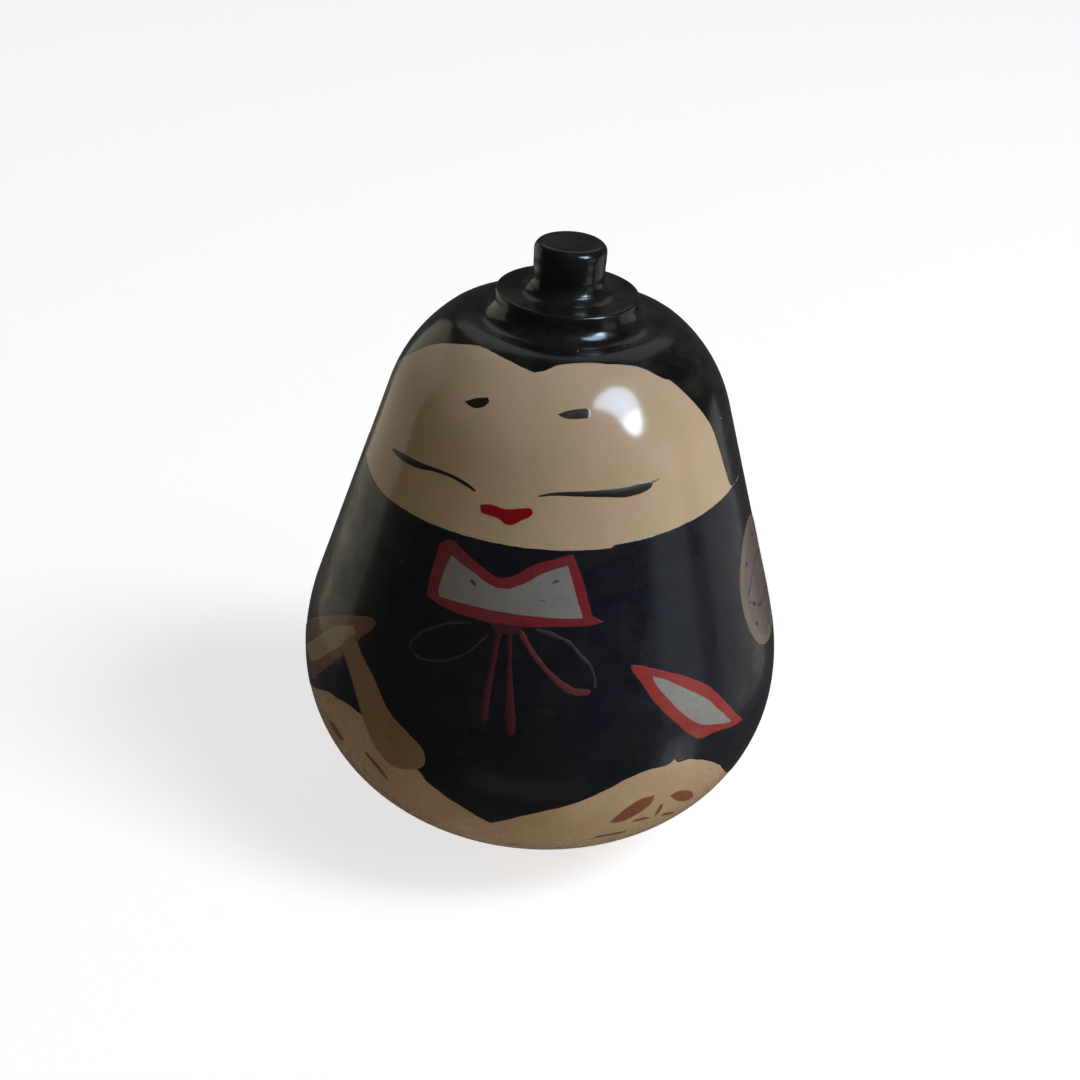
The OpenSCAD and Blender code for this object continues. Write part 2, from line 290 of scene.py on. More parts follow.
def staggered_grid(border, cell):
    """Flat points of an even-sided triangular grid over the border's box."""
    low, high = border.min(0), border.max(0)
    xs = np.arange(low[0] + cell / 2, high[0], cell)
    ys = np.arange(low[1] + cell / 2, high[1], cell * 0.87)
    return np.array([(x + (j % 2) * cell / 2, y) for j, y in enumerate(ys) for x in xs]).reshape(-1, 2)


def area_points(loops, border, cell):
    """The points of a coat: where they lie flat, which way is out at the rim, and how far inside they are."""
    tree = tree_of(border)
    ways_out = [outward(loop, (signed_area(loop) > 0) == (number == 0)) for number, loop in enumerate(loops)]
    rows = list(loops)
    away = list(ways_out)
    gaps = [np.zeros(len(loop)) for loop in loops]
    for gap in RIM_STEPS:
        for loop, out in zip(loops, ways_out):
            ring = loop - out * gap
            # A point that comes nearer to another stretch of the edge is left out
            keep = (distances(ring, tree) > 0.93 * gap) & inside(ring, loops)
            rows.append(ring[keep])
            away.append(out[keep])
            gaps.append(np.full(int(keep.sum()), gap))
    grid = staggered_grid(border, cell)
    near = distances(grid, tree)
    keep = (near > RIM + 0.25 * cell) & inside(grid, loops)
    rows.append(grid[keep])
    away.append(np.zeros((int(keep.sum()), 2)))
    gaps.append(near[keep])
    return np.vstack(rows), np.vstack(away), np.concatenate(gaps)


def at_back_seam(points, border):
    """True for the points near the two straight sides that meet at the back, apart from the sides' ends."""
    wide = border[:, 0].max()
    side = border[np.abs(border[:, 0]) > wide - 1e-6, 1]
    level = (points[:, 1] > side.min() + 0.2) & (points[:, 1] < side.max() - 0.1)
    return (np.abs(points[:, 0]) > wide - 1.3 * RIM) & level


def fill(loops, top, middle_r, cell, closes=False):
    """A coat that fills the loops: a rounded rim, and a grid inside it that is fine enough to look round.

    A coat that closes goes all round the body, and its two straight sides meet at the back without a rim.
    """
    border = np.vstack(loops)
    points, away, gaps = area_points(loops, border, cell)
    if closes:
        seam = at_back_seam(points, border)
        gaps[seam] = RIM
        away[seam] = 0.0
    made = geometry.delaunay_2d_cdt([Vector(p) for p in points], loop_edges(loops), [], 0, 1e-6)
    verts = np.array([tuple(v) for v in made[0]])
    origin = np.array([ids[0] if ids else -1 for ids in made[3]])
    faces = np.array([f for f in made[2] if len(f) == 3])
    faces = faces[inside(verts[faces].mean(1), loops)]
    known = origin >= 0
    gap = np.where(known, gaps[origin], 0.0)
    lean = np.where(known[:, None], away[origin], 0.0)
    azimuth = np.degrees(verts[:, 0] / middle_r)
    point, normal, side, rise = on_body(azimuth, verts[:, 1], rim_height(gap, top))
    under = on_body(azimuth, verts[:, 1], np.full(len(verts), -COAT_DEPTH))[0]
    tilt = RIM_TILT * np.clip(1 - gap / RIM, 0, 1)
    shaded = normal + (side * lean[:, :1] + rise * lean[:, 1:]) * tilt[:, None]
    shaded /= np.linalg.norm(shaded, axis=1)[:, None]
    return Sheet(point, under, shaded, faces.tolist())


def grid_faces(cols, rows):
    """Four-sided faces over points that lie in rows of that many columns."""
    starts = [j * cols + i for j in range(rows - 1) for i in range(cols - 1)]
    return [(a, a + 1, a + cols + 1, a + cols) for a in starts]


def ground(azimuths, low, high, step):
    """A plain rectangle of coat between two runs, whose edges lie under the coats that trim it."""
    runs = np.arange(low, high + step / 2, step)
    az, run = (g.ravel() for g in np.meshgrid(azimuths, runs))
    point, normal, _, _ = on_body(az, run, np.full(len(az), GROUND_TOP))
    under = on_body(az, run, np.full(len(az), -COAT_DEPTH))[0]
    return Sheet(point, under, normal, grid_faces(len(azimuths), len(runs)))


ACROSS = np.array([-1.0, -0.7, 0.0, 0.7, 1.0])  # where a stroke's lines of points lie, in half widths


def stroke(points, base, thick, middle_r, shake=0.03):
    """One brush stroke through (azimuth, height, width) points, round at both ends and domed across."""
    line = smooth(flat(points, middle_r), STROKE_STEP)
    along = np.gradient(line[:, :2], axis=0)
    along /= np.maximum(np.hypot(*along.T), 1e-9)[:, None]
    left = np.stack([-along[:, 1], along[:, 0]], -1)
    run = np.concatenate(([0.0], np.cumsum(np.hypot(*np.diff(line[:, :2], axis=0).T))))
    to_end = np.minimum(run, run[-1] - run)
    half = line[:, 2] / 2
    for i, (x, y) in enumerate(line[:, :2]):
        half[i] += shake * noise.noise(Vector((x * 1.3, y * 1.3, len(line) * 0.7)))
    t = np.clip(1 - to_end / np.maximum(half, 0.05), 0, 0.97)
    half = np.maximum(half * np.sqrt(1 - t**2), 0.03)
    flat_points = line[:, None, :2] - left[:, None, :] * (half[:, None] * ACROSS)[:, :, None]
    flat_points = flat_points.reshape(-1, 2)
    dome = np.tile(np.sqrt(np.clip(1 - ACROSS**2, 0, 1)), len(line))
    azimuth = np.degrees(flat_points[:, 0] / middle_r)
    point, normal, side, rise = on_body(azimuth, flat_points[:, 1], base - STROKE_SINK + thick * dome)
    under = on_body(azimuth, flat_points[:, 1], np.full(len(azimuth), base - STROKE_DEPTH))[0]
    lean = np.tile(ACROSS, len(line))[:, None] * -left.repeat(len(ACROSS), 0)
    shaded = normal + (side * lean[:, :1] + rise * lean[:, 1:]) * STROKE_TILT
    shaded /= np.linalg.norm(shaded, axis=1)[:, None]
    return Sheet(point, under, shaded, grid_faces(len(ACROSS), len(line)))


def close_sheet(sheet):
    """Points, faces and corner normals of the closed solid between a sheet's top and its underside."""
    keys, where, points = {}, [], []
    for i, p in enumerate(sheet.top):
        key = tuple(np.round(p, 4))
        if key not in keys:
            keys[key] = len(points)
            points.append(i)
        where.append(keys[key])
    faces, seen = [], set()
    for f in sheet.faces:
        g = tuple(where[i] for i in f)
        if len(set(g)) == len(g) and frozenset(g) not in seen:
            seen.add(frozenset(g))
            faces.append(g)
    top, under, normals = sheet.top[points], sheet.under[points], sheet.normals[points]
    used = {(f[i], f[(i + 1) % len(f)]) for f in faces for i in range(len(f))}
    rim = [(a, b) for a, b in used if (b, a) not in used]
    rim.sort()
    count = len(top)
    walls = [(b, a, a + count, b + count) for a, b in rim]
    unders = [tuple(i + count for i in reversed(f)) for f in faces]
    verts = np.vstack([top, under])
    corner = [normals[i] for f in faces for i in f]
    for a, b in rim:
        side = np.cross(top[b] - top[a], normals[a] + normals[b])
        side /= max(np.linalg.norm(side), 1e-9)
        corner += [side] * 4
    corner += [-normals[i - count] for f in unders for i in f]
    return verts, faces + walls + unders, corner


def make_object(name, verts, faces, material, corner_normals=None):
    """A Blender object from points in design millimetres."""
    mesh = bpy.data.meshes.new(name)
    mesh.from_pydata([tuple(float(c) * UNIT for c in v) for v in verts], [], faces)
    mesh.materials.append(material)
    for polygon in mesh.polygons:
        polygon.use_smooth = True
    mesh.update()
    if corner_normals is not None:
        mesh.normals_split_custom_set([tuple(float(c) for c in n) for n in corner_normals])
    obj = bpy.data.objects.new(name, mesh)
    bpy.context.collection.objects.link(obj)
    return obj


def settle(obj, slot_name, *nodes):
    """The piece rides on the one body and stands for those CAD nodes, which it hides; slot_name is not used.
    """
    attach(obj, "root")
    if nodes:
        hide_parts(*nodes)


def piece(name, sheets, material, slot_name, *nodes):
    """One painted piece from its sheets."""
    verts, faces, corners, first = [], [], [], 0
    for sheet in sheets:
        v, f, c = close_sheet(sheet)
        faces += [tuple(i + first for i in face) for face in f]
        verts.append(v)
        corners += c
        first += len(v)
    settle(make_object(name, np.vstack(verts), faces, material, corners), slot_name, *nodes)


LATHE_SIDES = 160


def brush_ripple(angle, height):
    """The slight unevenness of brushed lacquer round a turned piece, between about -1 and 1."""
    return noise.noise(Vector((math.cos(angle) * 1.4, math.sin(angle) * 1.4, height * 2.2)))


def lathe(name, profile, material, slot_name, node, unevenness):
    """A turned piece from (radius, height) points, closed on the axis at both ends and brushed unevenly."""
    points = [(0.0, 0.0, profile[0][1])]
    for radius, height in profile:
        for k in range(LATHE_SIDES):
            a = 2 * math.pi * k / LATHE_SIDES
            r = radius + unevenness * brush_ripple(a, height)
            points.append((r * math.sin(a), -r * math.cos(a), height))
    points.append((0.0, 0.0, profile[-1][1]))
    last = len(points) - 1
    top = last - LATHE_SIDES
    faces = []
    for start in range(1, top, LATHE_SIDES):
        for k in range(LATHE_SIDES):
            a = start + k
            b = start + (k + 1) % LATHE_SIDES
            faces.append((a, b, b + LATHE_SIDES, a + LATHE_SIDES))
    for k in range(LATHE_SIDES):
        following = (k + 1) % LATHE_SIDES
        faces.append((0, 1 + following, 1 + k))
        faces.append((last, top + k, top + following))
    settle(make_object(name, points, faces, material), slot_name, node)


# ---------------------------------------------------------------- materials
def shader_tree(name):
    """A new material, its node tree, its shader and its object coordinates in design millimetres."""
    material = bpy.data.materials.new(name)
    material.use_nodes = True
    tree = material.node_tree
    shader = tree.nodes["Principled BSDF"]
    coords = tree.nodes.new("ShaderNodeTexCoord")
    scale = tree.nodes.new("ShaderNodeVectorMath")
    scale.operation = "SCALE"
    scale.inputs["Scale"].default_value = 1 / UNIT
    tree.links.new(coords.outputs["Object"], scale.inputs[0])
    return material, tree, shader, scale.outputs[0]


def stretched(tree, vector, amounts):
    """The vector with each of its parts multiplied."""
    node = tree.nodes.new("ShaderNodeVectorMath")
    node.operation = "MULTIPLY"
    node.inputs[1].default_value = amounts
    tree.links.new(vector, node.inputs[0])
    return node.outputs[0]


def noise_of(tree, vector, scale, detail=3.0, rough=0.55):
    """Cloudy noise from 0 to 1, with that many clouds to the millimetre."""
    node = tree.nodes.new("ShaderNodeTexNoise")
    node.inputs["Scale"].default_value = scale
    node.inputs["Detail"].default_value = detail
    node.inputs["Roughness"].default_value = rough
    tree.links.new(vector, node.inputs["Vector"])
    return node.outputs["Fac"]


def ranged(tree, value, low, high, to_low, to_high):
    """The value with low...high stretched to to_low...to_high."""
    node = tree.nodes.new("ShaderNodeMapRange")
    node.inputs["From Min"].default_value = low
    node.inputs["From Max"].default_value = high
    node.inputs["To Min"].default_value = to_low
    node.inputs["To Max"].default_value = to_high
    tree.links.new(value, node.inputs["Value"])
    return node.outputs["Result"]


def mixed(tree, factor, first, second):
    """A colour between first and second; either may be a colour or a socket."""
    node = tree.nodes.new("ShaderNodeMix")
    node.data_type = "RGBA"
    tree.links.new(factor, node.inputs[0])
    for value, target in ((first, node.inputs[6]), (second, node.inputs[7])):
        if isinstance(value, tuple):
            target.default_value = (*value, 1.0)
        else:
            tree.links.new(value, target)
    return node.outputs[2]


def bump_of(tree, height, strength, distance, before=None):
    """A relief from the height, that many design millimetres deep, on top of the one before."""
    node = tree.nodes.new("ShaderNodeBump")
    node.inputs["Strength"].default_value = strength
    node.inputs["Distance"].default_value = distance * UNIT
    tree.links.new(height, node.inputs["Height"])
    if before is not None:
        tree.links.new(before, node.inputs["Normal"])
    return node.outputs["Normal"]


def specks_of(tree, vector, scale, size):
    """Small round specks, 1 inside and 0 outside."""
    node = tree.nodes.new("ShaderNodeTexVoronoi")
    node.inputs["Scale"].default_value = scale
    tree.links.new(vector, node.inputs["Vector"])
    return ranged(tree, node.outputs["Distance"], size, size * 0.55, 0.0, 1.0)


RELIEF = 0.25  # how strongly the unevenness of brushed lacquer shows in its gloss
DUST = (0.35, 0.34, 0.32)


def lacquer(name, colour, tint, worn=None, gloss=0.28, streak=0.5, cloud=0.11, grainy=0.3, dust=0.0,
            haze=None):
    """Brushed lacquer: two shades of the paint in clouds, smears of haze, turning streaks, grain and dust.

    The gloss value is its roughness, which varies a little in smears.
    """
    material, tree, shader, mm = shader_tree(name)
    clouds = noise_of(tree, mm, cloud, 4.0, 0.6)
    paint = mixed(tree, ranged(tree, clouds, 0.38, 0.64, 0.0, 1.0), colour, tint)
    if haze:
        smears = noise_of(tree, stretched(tree, mm, (0.22, 0.22, 0.36)), 1.0, 6.0, 0.72)
        paint = mixed(tree, ranged(tree, smears, 0.42, 0.78, 0.0, 1.0), paint, haze)
    rings = noise_of(tree, stretched(tree, mm, (0.06, 0.06, 1.6)), 1.0, 4.0, 0.6)
    darker = tuple(c * (1 - streak * 0.5) for c in colour)
    paint = mixed(tree, ranged(tree, rings, 0.46, 0.7, 0.0, streak), paint, darker)
    grain = noise_of(tree, mm, 1.9, 5.0, 0.7)
    paint = mixed(tree, ranged(tree, grain, 0.5, 0.8, 0.0, grainy), paint, worn or darker)
    if dust:
        specks = specks_of(tree, mm, 0.42, 0.055)
        sparse = ranged(tree, noise_of(tree, mm, 0.17), 0.52, 0.6, 0.0, dust)
        both = tree.nodes.new("ShaderNodeMath")
        both.operation = "MULTIPLY"
        tree.links.new(specks, both.inputs[0])
        tree.links.new(sparse, both.inputs[1])
        paint = mixed(tree, both.outputs[0], paint, DUST)
    tree.links.new(paint, shader.inputs["Base Color"])
    smear = noise_of(tree, mm, 0.23, 4.0, 0.65)
    tree.links.new(ranged(tree, smear, 0.35, 0.7, gloss * 0.8, gloss * 1.7), shader.inputs["Roughness"])
    wavy = bump_of(tree, noise_of(tree, mm, 0.5, 2.0), RELIEF * 0.3, 0.04)
    turned = bump_of(tree, rings, RELIEF * 0.35, 0.02, wavy)
    fine = bump_of(tree, noise_of(tree, mm, 3.5, 4.0, 0.6), RELIEF * 0.25, 0.006, turned)
    tree.links.new(fine, shader.inputs["Normal"])
    shader.inputs["Specular IOR Level"].default_value = 0.32
    shader.inputs["Coat Weight"].default_value = 0.3
    shader.inputs["Coat Roughness"].default_value = 0.12
    return material


WOOD_ROUGHNESS = 0.5


def turned_wood(name, light, dark):
    """Plain lathe-turned wood: growth rings, fine pores and turning marks."""
    material, tree, shader, mm = shader_tree(name)
    warped = stretched(tree, mm, (0.35, 0.35, 0.05))
    rings = tree.nodes.new("ShaderNodeTexWave")
    rings.wave_type = "RINGS"
    rings.rings_direction = "Y"
    rings.inputs["Scale"].default_value = 0.55
    rings.inputs["Distortion"].default_value = 2.2
    rings.inputs["Detail"].default_value = 3.0
    tree.links.new(warped, rings.inputs["Vector"])
    wood = mixed(tree, ranged(tree, rings.outputs["Fac"], 0.2, 0.9, 0.0, 0.8), light, dark)
    pores = noise_of(tree, stretched(tree, mm, (6.0, 1.2, 6.0)), 1.0, 4.0, 0.7)
    darkest = tuple(c * 0.55 for c in dark)
    wood = mixed(tree, ranged(tree, pores, 0.55, 0.8, 0.0, 0.45), wood, darkest)
    tree.links.new(wood, shader.inputs["Base Color"])
    rough = ranged(tree, pores, 0.3, 0.8, WOOD_ROUGHNESS, WOOD_ROUGHNESS * 1.4)
    tree.links.new(rough, shader.inputs["Roughness"])
    marks = noise_of(tree, stretched(tree, mm, (0.1, 0.1, 3.0)), 1.0, 3.0)
    normal = bump_of(tree, marks, 0.15, 0.05)
    tree.links.new(bump_of(tree, pores, 0.2, 0.04, normal), shader.inputs["Normal"])
    return material


def metal(name, colour, rust, roughness):
    """Plain metal with tarnish."""
    material, tree, shader, mm = shader_tree(name)
    spots = noise_of(tree, mm, 0.5, 5.0, 0.7)
    spotted = mixed(tree, ranged(tree, spots, 0.5, 0.7, 0.0, 1.0), colour, rust)
    tree.links.new(spotted, shader.inputs["Base Color"])
    tree.links.new(ranged(tree, spots, 0.4, 0.7, roughness, roughness * 1.8), shader.inputs["Roughness"])
    tree.links.new(bump_of(tree, spots, 0.3, 0.05), shader.inputs["Normal"])
    shader.inputs["Metallic"].default_value = 1.0
    return material


SKIN = lacquer("face_enamel", (0.50, 0.37, 0.265), (0.44, 0.365, 0.225), (0.40, 0.275, 0.20),
               gloss=0.12, streak=0.12, cloud=0.16, grainy=0.24)
BLACK = lacquer("black_lacquer", (0.0033, 0.0034, 0.0031), (0.006, 0.0062, 0.0056), (0.013, 0.013, 0.0115),
                gloss=0.17, streak=0.35, dust=0.7, haze=(0.026, 0.026, 0.0235))
NAVY = lacquer("navy_enamel", (0.0045, 0.005, 0.0135), (0.0062, 0.0062, 0.0075), (0.010, 0.0105, 0.014),
               streak=0.35, dust=0.25, haze=(0.014, 0.0142, 0.0165))
CREAM = lacquer("cream_enamel", (0.48, 0.37, 0.25), (0.43, 0.315, 0.195), (0.36, 0.255, 0.15),
                gloss=0.24, streak=0.25)
INK = lacquer("ink", (0.010, 0.0075, 0.003), (0.02, 0.015, 0.006), gloss=0.38, streak=0.35)
RED = lacquer("red_enamel", (0.20, 0.016, 0.024), (0.155, 0.028, 0.038), (0.06, 0.024, 0.03),
              gloss=0.26, cloud=0.14)
GREY_WHITE = lacquer("grey_white", (0.225, 0.225, 0.222), (0.19, 0.192, 0.186), (0.13, 0.13, 0.135),
                     gloss=0.26)
WHITE = lacquer("white_enamel", (0.27, 0.275, 0.262), (0.23, 0.235, 0.22), (0.16, 0.165, 0.17), gloss=0.26)
DULL_RED = lacquer("dull_red_enamel", (0.14, 0.032, 0.032), (0.10, 0.03, 0.032), (0.04, 0.018, 0.02),
                   streak=0.6)
BALL = lacquer("ball_enamel", (0.13, 0.098, 0.085), (0.098, 0.076, 0.068), (0.07, 0.055, 0.05), streak=0.4)
RUST = lacquer("rust_enamel", (0.22, 0.075, 0.042), (0.27, 0.12, 0.05), (0.13, 0.06, 0.035))
LIP = lacquer("lip_red", (0.26, 0.001, 0.008), (0.22, 0.001, 0.006), gloss=0.22, streak=0.2)
CUFF_RED = lacquer("cuff_red", (0.30, 0.032, 0.036), (0.25, 0.028, 0.022), (0.15, 0.04, 0.04), gloss=0.26)
CORD = lacquer("cord_red", (0.07, 0.014, 0.018), (0.055, 0.012, 0.016), (0.035, 0.013, 0.018))
FAINT = lacquer("faint_stroke", (0.045, 0.045, 0.046), (0.03, 0.03, 0.032))
BROW_BROWN = lacquer("brow_brown", (0.07, 0.05, 0.035), (0.05, 0.036, 0.024), gloss=0.24, streak=0.35)
# Pale paint for the painted highlight at the end of one eyebrow, standing in for the window's glint on the
# ink
BROW_HIGHLIGHT = lacquer("painted_brow_highlight", (0.75, 0.70, 0.58), (0.7, 0.64, 0.52), gloss=0.2, streak=0.35)
EYE_GREY = lacquer("eye_grey", (0.12, 0.095, 0.065), (0.17, 0.135, 0.095), gloss=0.24, streak=0.35)
SMUDGE = lacquer("smudge", (0.06, 0.057, 0.055), (0.045, 0.042, 0.04), streak=0.35)
DIM_WHITE = lacquer("dim_white", (0.40, 0.35, 0.24), (0.33, 0.27, 0.18), (0.2, 0.16, 0.11))
DIM_RED = lacquer("dim_red", (0.16, 0.07, 0.06), (0.22, 0.12, 0.085), (0.09, 0.05, 0.04))
PADDLE = lacquer("paddle_enamel", (0.28, 0.205, 0.11), (0.25, 0.14, 0.075), (0.16, 0.11, 0.06),
                 gloss=0.26, streak=0.35)
BALL_LINE = lacquer("ball_line", (0.155, 0.128, 0.095), (0.13, 0.103, 0.075), gloss=0.26, streak=0.4)
STAMEN = lacquer("stamen_enamel", (0.21, 0.095, 0.04), (0.17, 0.06, 0.03), streak=0.4)
BARE_WOOD = turned_wood("bare_wood", (0.52, 0.37, 0.22), (0.40, 0.26, 0.14))
BASE_WOOD = turned_wood("base_wood", (0.48, 0.33, 0.19), (0.36, 0.23, 0.12))
IRON = metal("ballast_iron", (0.16, 0.155, 0.15), (0.10, 0.06, 0.04), 0.5)
STEEL = metal("fastener_steel", (0.55, 0.54, 0.52), (0.35, 0.33, 0.30), 0.3)


# ---------------------------------------------------------------- coats
# Lines that run from the back, round the doll's right side and the front, to the back again
NAPE_RIGHT = ((-180.0, 50.9), (-130.0, 50.9), (-100.0, 50.7), (-84.0, 50.4))
NAPE_LEFT = ((81.0, 51.7), (100.0, 51.3), (130.0, 51.0), (180.0, 50.9))
HAIRLINE_RIGHT = (
    (-84.0, 50.4), (-83.5, 55.0), (-81.5, 59.0), (-75.0, 61.5), (-66.0, 64.0), (-56.0, 66.1), (-36.0, 67.62),
    (-25.0, 67.7), (-12.0, 67.45), (-1.0, 67.05),
)
HAIRLINE_LEFT = (
    (-1.0, 67.05), (4.0, 67.35), (10.0, 67.8), (21.0, 67.97), (32.0, 67.88), (47.0, 67.45), (58.0, 66.0),
    (62.0, 65.4), (71.0, 61.6), (75.0, 58.6), (79.0, 52.8), (81.0, 51.7),
)
NECKLINE_RIGHT = ((-84.0, 50.4), (-65.0, 50.2), (-49.0, 49.7), (-38.0, 49.7), (-10.0, 49.8), (14.0, 49.9),
                  (29.0, 50.1))
NECKLINE_STEP = ((29.0, 50.1), (30.0, 50.4))
NECKLINE_LEFT = ((30.0, 50.4), (44.0, 50.8), (55.0, 51.1), (66.0, 51.4), (81.0, 51.7))
HEM_LINE = (
    ((-180.0, 15.0), (-168.0, 17.0), (-150.0, 20.8), (-130.0, 22.6), (-108.0, 21.0), (-90.0, 17.4),
     (-76.0, 15.2)),
    ((-76.0, 15.2), (-68.0, 17.6), (-60.0, 20.3), (-53.5, 22.0), (-47.0, 23.8), (-42.0, 24.4), (-37.0, 24.9),
     (-30.5, 24.8)),
    ((-30.5, 24.8), (-26.0, 23.6), (-20.0, 22.2), (-15.0, 21.1), (-13.0, 19.8), (-10.0, 18.9), (-7.0, 17.9),
     (-4.5, 17.2), (2.5, 15.1)),
    ((2.5, 15.1), (11.0, 17.6), (21.0, 19.7), (27.0, 21.2), (33.0, 22.8), (38.0, 23.5), (43.5, 23.6),
     (45.2, 24.1)),
    ((45.2, 24.1), (46.5, 23.4), (50.0, 23.2), (55.5, 21.8), (61.0, 19.7), (66.5, 16.9), (72.0, 15.0),
     (78.0, 14.6)),
    ((78.0, 14.6), (90.0, 17.5), (108.0, 21.8), (128.0, 23.0), (150.0, 20.5), (170.0, 16.5), (180.0, 15.0)),
)


def face_coat():
    sheet = ground(np.arange(-90.0, 90.1, 1.5), run_at(NECK_Z - 2), run_at(FOREHEAD_Z), 0.6)
    piece("face", [sheet], SKIN, "face_enamel", "face_paint")


def hem_coat():
    below = BODY[:, 1] < MID_Z
    low = np.interp(SEAM_R, BODY[below, 0], BODY_RUN[below])
    sheet = ground(np.arange(-180.0, 180.1, 1.5), low, run_at(HEM_TOP_Z), 0.5)
    piece("hem", [sheet], CREAM, "cream_enamel", "hem_paint")


def hair_coat():
    low = joined([NAPE_RIGHT, HAIRLINE_RIGHT, HAIRLINE_LEFT, NAPE_LEFT], HEAD_R, 0.05)
    sideways = np.linspace(low[0, 0], low[-1, 0], 460)
    high = np.stack([sideways, np.full(len(sideways), run_at_radius(RING_R))], -1)
    sheet = fill([ring_outline(low, high)], CLOTH_TOP, HEAD_R, 0.8, closes=True)
    piece("hair", [sheet], BLACK, "black_lacquer", "hair_paint")


def kimono_coat():
    low = joined(HEM_LINE, CLOTH_R, 0.06)
    high = joined([NAPE_RIGHT, NECKLINE_RIGHT, NECKLINE_STEP, NECKLINE_LEFT, NAPE_LEFT], CLOTH_R, 0.05)
    sheet = fill([ring_outline(low, high)], CLOTH_TOP, CLOTH_R, 1.0, closes=True)
    piece("kimono", [sheet], NAVY, "navy_enamel", "kimono_paint")


# ---------------------------------------------------------------- face
def eyebrows():
    right = outline(
        ((-24.5, 63.2), (-21.0, 63.8), (-16.2, 64.25)),
        ((-16.2, 64.25), (-14.9, 63.9), (-16.2, 63.3)),
        ((-16.2, 63.3), (-19.0, 62.95), (-22.2, 63.0)),
        middle_r=HEAD_R, shake=0.03,
    )
    left = outline(
        ((10.8, 63.85), (15.0, 64.3), (21.0, 64.5)),
        ((21.0, 64.5), (22.3, 64.3), (21.9, 63.6)),
        ((21.9, 63.6), (17.5, 63.5), (13.2, 63.55)),
        middle_r=HEAD_R, shake=0.03,
    )
    sheets = [fill([loop], 0.05, HEAD_R, 0.3) for loop in (right, left)]
    piece("brows", sheets, INK, "ink", "eyebrows")
    worn = [
        ((13.4, 63.9, 0.1), (15.5, 64.0, 0.26), (18.2, 64.05, 0.3), (19.4, 64.05, 0.15)),
        ((13.4, 63.65, 0.1), (16.0, 63.72, 0.14), (19.0, 63.75, 0.1)),
    ]
    piece("brow_wear", [stroke(line, 0.06, 0.025, HEAD_R, 0.08) for line in worn], BROW_BROWN, "ink")
    # A painted highlight: a pale stroke at the end of one eyebrow, in place of the window glinting on its
    # raised edge
    glint = ((22.4, 63.65, 0.1), (22.6, 64.0, 0.2), (22.35, 64.4, 0.1))
    piece("brow_glint", [stroke(glint, GROUND_TOP, 0.05, HEAD_R)], BROW_HIGHLIGHT, "face_enamel")


def eyes():
    right = ((-49.5, 54.6, 0.2), (-46.0, 54.65, 0.7), (-40.8, 54.8, 0.95), (-33.8, 55.05, 0.8),
             (-28.0, 55.4, 0.5), (-21.2, 55.5, 0.42), (-16.0, 55.2, 0.47), (-12.2, 54.75, 0.25))
    left = ((7.0, 55.5, 0.15), (12.0, 55.9, 0.4), (19.0, 56.0, 0.66), (27.0, 56.0, 0.92),
            (33.8, 55.95, 1.25), (39.5, 56.2, 1.3), (43.0, 56.4, 0.7))
    sheets = [stroke(line, GROUND_TOP, 0.07, HEAD_R) for line in (right, left)]
    piece("eye_lines", sheets, INK, "ink", "eyes")
    tail = ((41.5, 56.45, 0.5), (43.5, 56.6, 0.45), (46.0, 56.8, 0.15))
    piece("eye_tail", [stroke(tail, GROUND_TOP - 0.01, 0.04, HEAD_R, 0.1)], EYE_GREY, "ink")


def lips():
    loop = outline(
        ((-10.0, 53.5), (-6.8, 53.8), (-2.2, 53.65), (2.5, 54.0), (5.0, 54.15), (6.0, 53.7), (5.0, 53.1),
         (3.0, 52.7), (0.8, 52.1), (-1.5, 52.0), (-4.0, 52.5), (-6.8, 52.6), (-9.3, 52.75)),
        middle_r=HEAD_R, shake=0.03,
    )
    piece("lips", [fill([loop], 0.07, HEAD_R, 0.35)], LIP, "red_enamel", "lips")


# ---------------------------------------------------------------- bow
def framed(outer, inner, middle, line, lap=0.4, cell=0.5):
    """A painted middle and the line that laps over its edge, each told by (name, paint, slot)."""
    name, paint, slot_name = middle
    piece(name, [fill([grown(inner, lap)], MOTIF_TOP, CLOTH_R, cell)], paint, slot_name, name)
    name, paint, slot_name = line
    piece(name, [fill([outer, inner], LINE_TOP, CLOTH_R, 0.5)], paint, slot_name, name)


